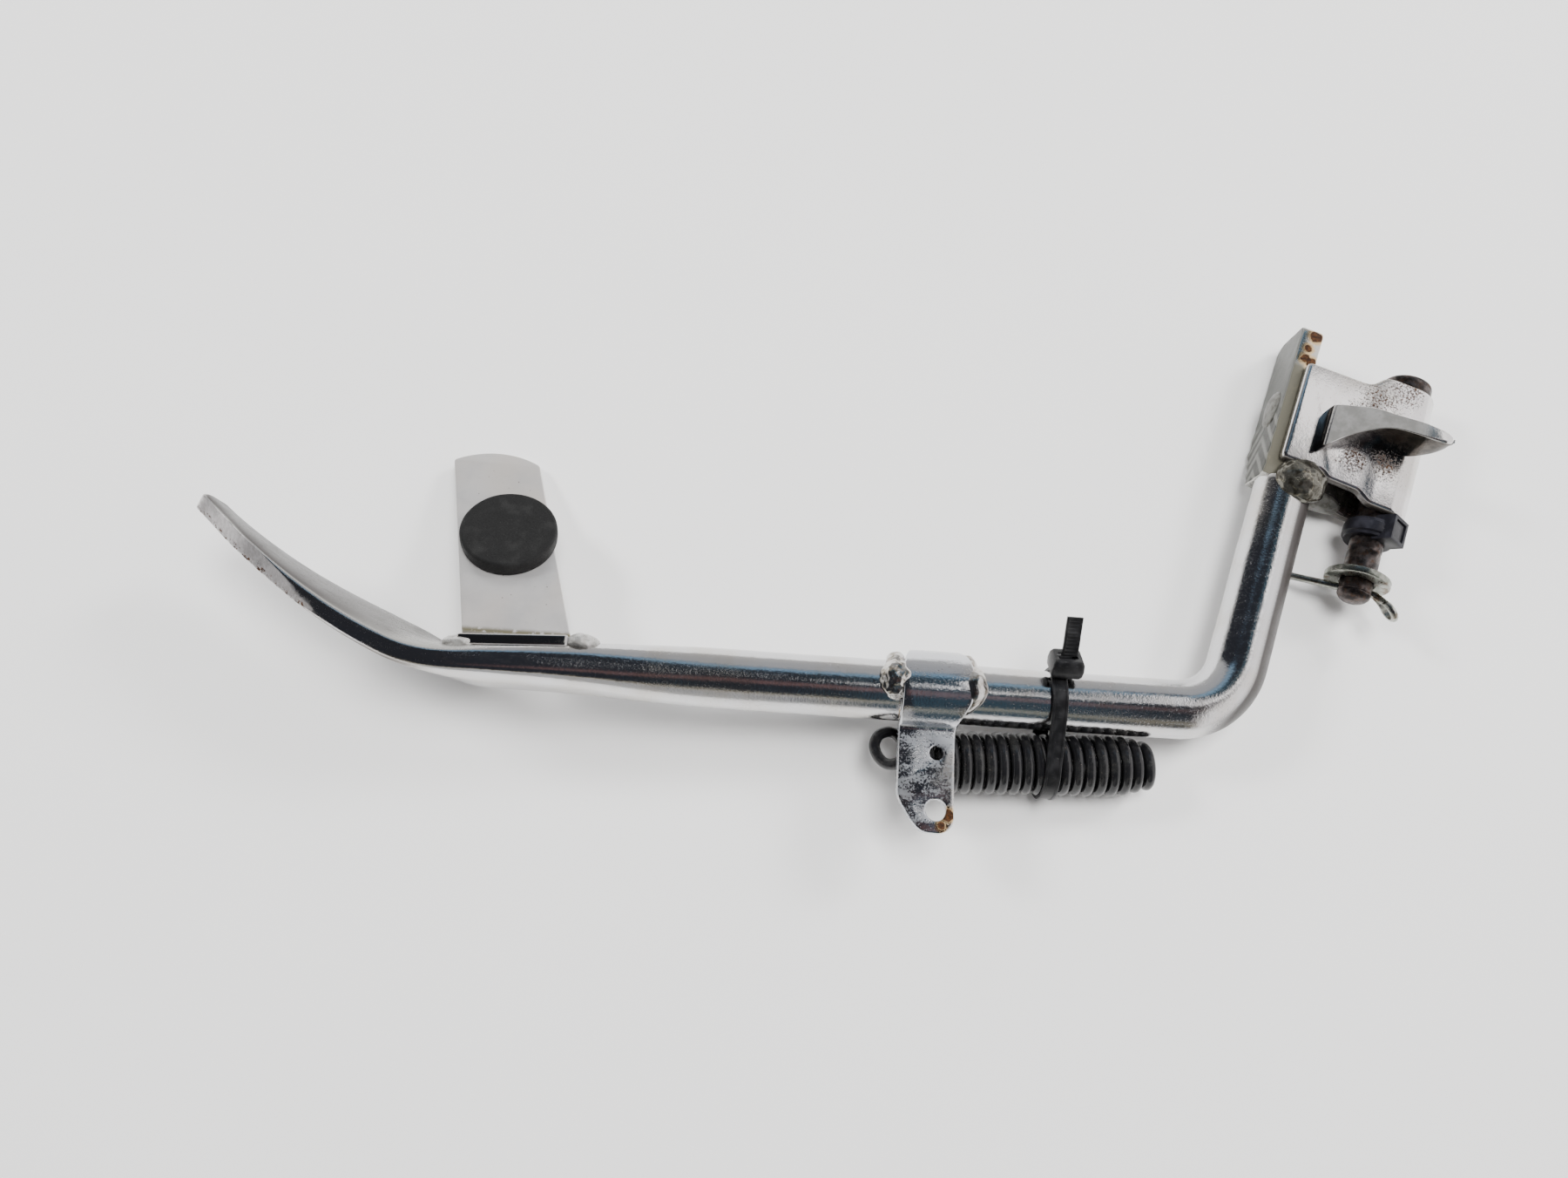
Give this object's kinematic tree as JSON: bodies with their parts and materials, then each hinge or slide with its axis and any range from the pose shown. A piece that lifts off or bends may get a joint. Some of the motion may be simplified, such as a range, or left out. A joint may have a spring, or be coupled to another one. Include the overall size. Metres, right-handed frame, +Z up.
{
  "type": "motorcycle kickstand",
  "caption": "Bent steel motorcycle side stand with a flattened foot, folded pivot head on a clevis pin, rubber-tipped prop strip and a return spring tied to the leg.",
  "frame": {"origin": "middle of the footprint, on the surface that the stand lies on", "axes": "+X along the leg from the foot to the pivot head, +Y towards the head bar's free end, +Z up"},
  "size_m": [0.3391, 0.1527, 0.0416],
  "materials": {
    "chrome": "worn chrome plate",
    "satin_chrome": "satin plate",
    "chromed_weld": "plated weld bead",
    "worn_steel": "dark worn steel",
    "zinc": "dull zinc plate",
    "rubber": "matte",
    "spring_black": "gloss black coating",
    "nylon": "black nylon",
    "plastic": "black moulding",
    "magnet": "dark sintered block"
  },
  "bodies": {
    "leg": {"leg_rod": "chrome", "head_bar": "chrome", "head_plate": "chrome", "stop_lug": "chrome", "spring_tab": "chrome", "bumper_strip": "satin_chrome", "rubber_bumper": "rubber", "return_spring": "spring_black", "cable_tie": "nylon", "corner_weld": "chromed_weld", "lower_corner_weld": "chromed_weld", "bar_face_weld": "chromed_weld", "lug_weld": "chromed_weld", "tab_weld_left": "chromed_weld", "tab_weld_right": "chromed_weld", "strip_weld_left": "chromed_weld", "strip_weld_right": "chromed_weld"},
    "pin": {"clevis_pin": "worn_steel"},
    "split_pin": {"split_pin": "zinc"},
    "washer": {"flat_washer": "zinc"},
    "collar": {"pin_collar": "plastic", "collar_magnet": "magnet"}
  },
  "joints": [
    {"name": "pin_turn", "type": "hinge", "parent": "leg", "child": "pin", "pos_m": [0.15, 0.02091, 0.01081], "axis": [-0.3051, -0.9521, 0.0195], "range_deg": [-3, 318]},
    {"name": "split_pin_pull", "type": "slide", "parent": "pin", "child": "split_pin", "axis": [0.91, -0.2854, 0.3009], "range_m": [0, 0.018]},
    {"name": "washer_slide", "type": "slide", "parent": "pin", "child": "washer", "axis": [0.3051, 0.9521, -0.0195], "range_m": [-0.0004, 0.0095]},
    {"name": "collar_turn", "type": "hinge", "parent": "pin", "child": "collar", "pos_m": [0.15, 0.02091, 0.01081], "axis": [0.3051, 0.9521, -0.0195], "continuous": true}
  ]
}
